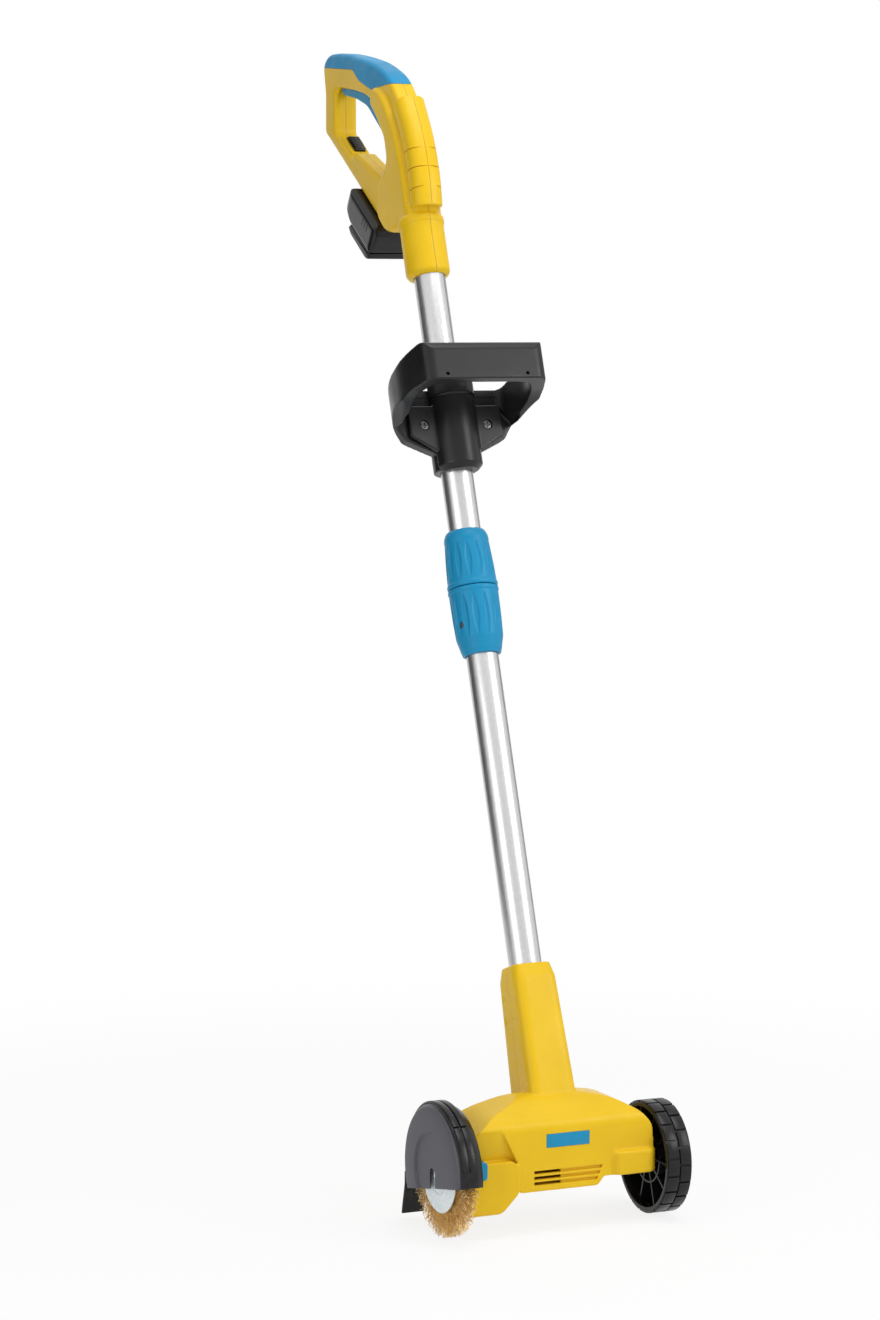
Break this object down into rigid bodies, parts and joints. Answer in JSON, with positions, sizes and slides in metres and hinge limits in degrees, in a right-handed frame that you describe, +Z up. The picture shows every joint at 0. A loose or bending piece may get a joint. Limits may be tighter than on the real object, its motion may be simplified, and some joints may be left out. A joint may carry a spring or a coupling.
{
  "type": "cordless patio cleaner",
  "caption": "Upright cordless patio joint cleaner: a wire brush under a guard, a guide wheel, a telescopic leaning pole, a bow handle and a rear grip with trigger.",
  "frame": {"origin": "middle of the foot of the object's box, on the ground the brush and wheel touch", "axes": "+X from the brush to the wheel along the spindle, +Y towards the user, +Z up"},
  "size_m": [0.2368, 0.5682, 1.0656],
  "materials": {
    "yellow_plastic": "fine satin moulded surface",
    "blue_plastic": "satin",
    "soft_blue": "soft-touch, dull",
    "black_plastic": "fine grain, satin",
    "wheel_black": "hard, slightly glossy",
    "black_rubber": "dull",
    "satin_aluminium": "satin drawn tube",
    "brass_wire": "crimped wire, bright",
    "milky_plastic": "translucent, smooth",
    "board_green": "lacquered",
    "plain_steel": "bright zinc"
  },
  "bodies": {
    "base": {"base_front_shell": "yellow_plastic", "base_rear_shell": "yellow_plastic", "label_plate": "blue_plastic", "motor_can": "plain_steel", "spindle_bearing_1": "plain_steel", "spindle_bearing_2": "plain_steel", "brush_guard": "black_plastic", "splash_flap": "black_rubber", "button_spring": "plain_steel", "shell_screw_1": "plain_steel", "shell_screw_2": "plain_steel", "shell_screw_3": "plain_steel", "wheel_axle": "plain_steel", "lower_tube": "satin_aluminium", "lower_lock_sleeve": "blue_plastic", "sleeve_screw": "plain_steel", "collet": "black_plastic"},
    "brush": {"spindle": "plain_steel", "drive_gear": "plain_steel", "brush_core": "plain_steel", "brush_disc": "milky_plastic", "brush_bristles_1": "brass_wire", "brush_bristles_2": "brass_wire", "brush_bristles_3": "brass_wire", "brush_bristles_4": "brass_wire", "spindle_screw": "plain_steel"},
    "rotor": {"motor_pinion": "plain_steel"},
    "button": {"release_button": "blue_plastic"},
    "wheel": {"wheel": "wheel_black", "wheel_cap": "wheel_black"},
    "lock_nut": {"twist_lock_nut": "blue_plastic"},
    "upper": {"upper_tube": "satin_aluminium", "inner_tube": "satin_aluminium", "handle_left_shell": "yellow_plastic", "handle_right_shell": "yellow_plastic", "handle_screw_1": "plain_steel", "handle_screw_2": "plain_steel", "handle_screw_3": "plain_steel", "handle_screw_4": "plain_steel", "soft_grip": "soft_blue", "trigger_pin": "plain_steel", "trigger_spring": "plain_steel", "switch_block": "black_plastic", "control_board": "board_green", "battery_dock": "black_plastic"},
    "aux_handle": {"aux_bow": "black_plastic", "aux_clamp_cap": "black_plastic", "clamp_screw_1": "plain_steel", "clamp_screw_2": "plain_steel", "clamp_nut_1": "plain_steel", "clamp_nut_2": "plain_steel"},
    "trigger": {"trigger": "blue_plastic"},
    "slide": {"lock_slide": "black_plastic"},
    "battery": {"battery_case": "black_plastic", "battery_base": "black_plastic", "battery_cell_1": "plain_steel", "battery_cell_2": "plain_steel", "battery_cell_3": "plain_steel"},
    "latch": {"battery_latch": "blue_plastic"}
  },
  "joints": [
    {"name": "brush_spin", "type": "hinge", "parent": "base", "child": "brush", "pos_m": [-0.1054, -0.22311, 0.05789], "axis": [1, 0, 0], "continuous": true},
    {"name": "motor_spin", "type": "hinge", "parent": "base", "child": "rotor", "pos_m": [-0.0684, -0.21432, 0.08342], "axis": [1, 0, 0], "continuous": true},
    {"name": "wheel_spin", "type": "hinge", "parent": "base", "child": "wheel", "pos_m": [0.1, -0.22311, 0.05239], "axis": [1, 0, 0], "continuous": true},
    {"name": "button_press", "type": "slide", "parent": "base", "child": "button", "axis": [0, 1, 0], "range_m": [0, 0.003], "stiffness_N_per_m": 500, "springref_m": -0.004},
    {"name": "pole_extension", "type": "slide", "parent": "base", "child": "upper", "axis": [0, 0.3256, 0.9455], "range_m": [0, 0.2]},
    {"name": "lock_nut_twist", "type": "hinge", "parent": "base", "child": "lock_nut", "pos_m": [0.0016, -0.22311, 0.05339], "axis": [0, 0.3256, 0.9455], "range_deg": [0, 120]},
    {"name": "aux_handle_slide", "type": "slide", "parent": "upper", "child": "aux_handle", "axis": [0, 0.3256, 0.9455], "range_m": [-0.045, 0.09]},
    {"name": "trigger_pull", "type": "hinge", "parent": "upper", "child": "trigger", "pos_m": [0.0016, 0.24164, 1.03127], "axis": [-1, 0, 0], "range_deg": [0, 6], "stiffness_Nm_per_rad": 3, "springref_deg": -6.88},
    {"name": "lock_slide_travel", "type": "slide", "parent": "upper", "child": "slide", "axis": [0, 0.8387, 0.5446], "range_m": [0, 0.003]},
    {"name": "battery_slide", "type": "slide", "parent": "upper", "child": "battery", "axis": [0, 0.8387, 0.5446], "range_m": [0, 0.06]},
    {"name": "battery_latch_press", "type": "slide", "parent": "battery", "child": "latch", "axis": [0, -0.8387, -0.5446], "range_m": [0, 0.002], "stiffness_N_per_m": 600, "springref_m": -0.003}
  ],
  "couplings": [
    {"joint": "motor_spin", "follows": "brush_spin", "ratio": -3}
  ]
}
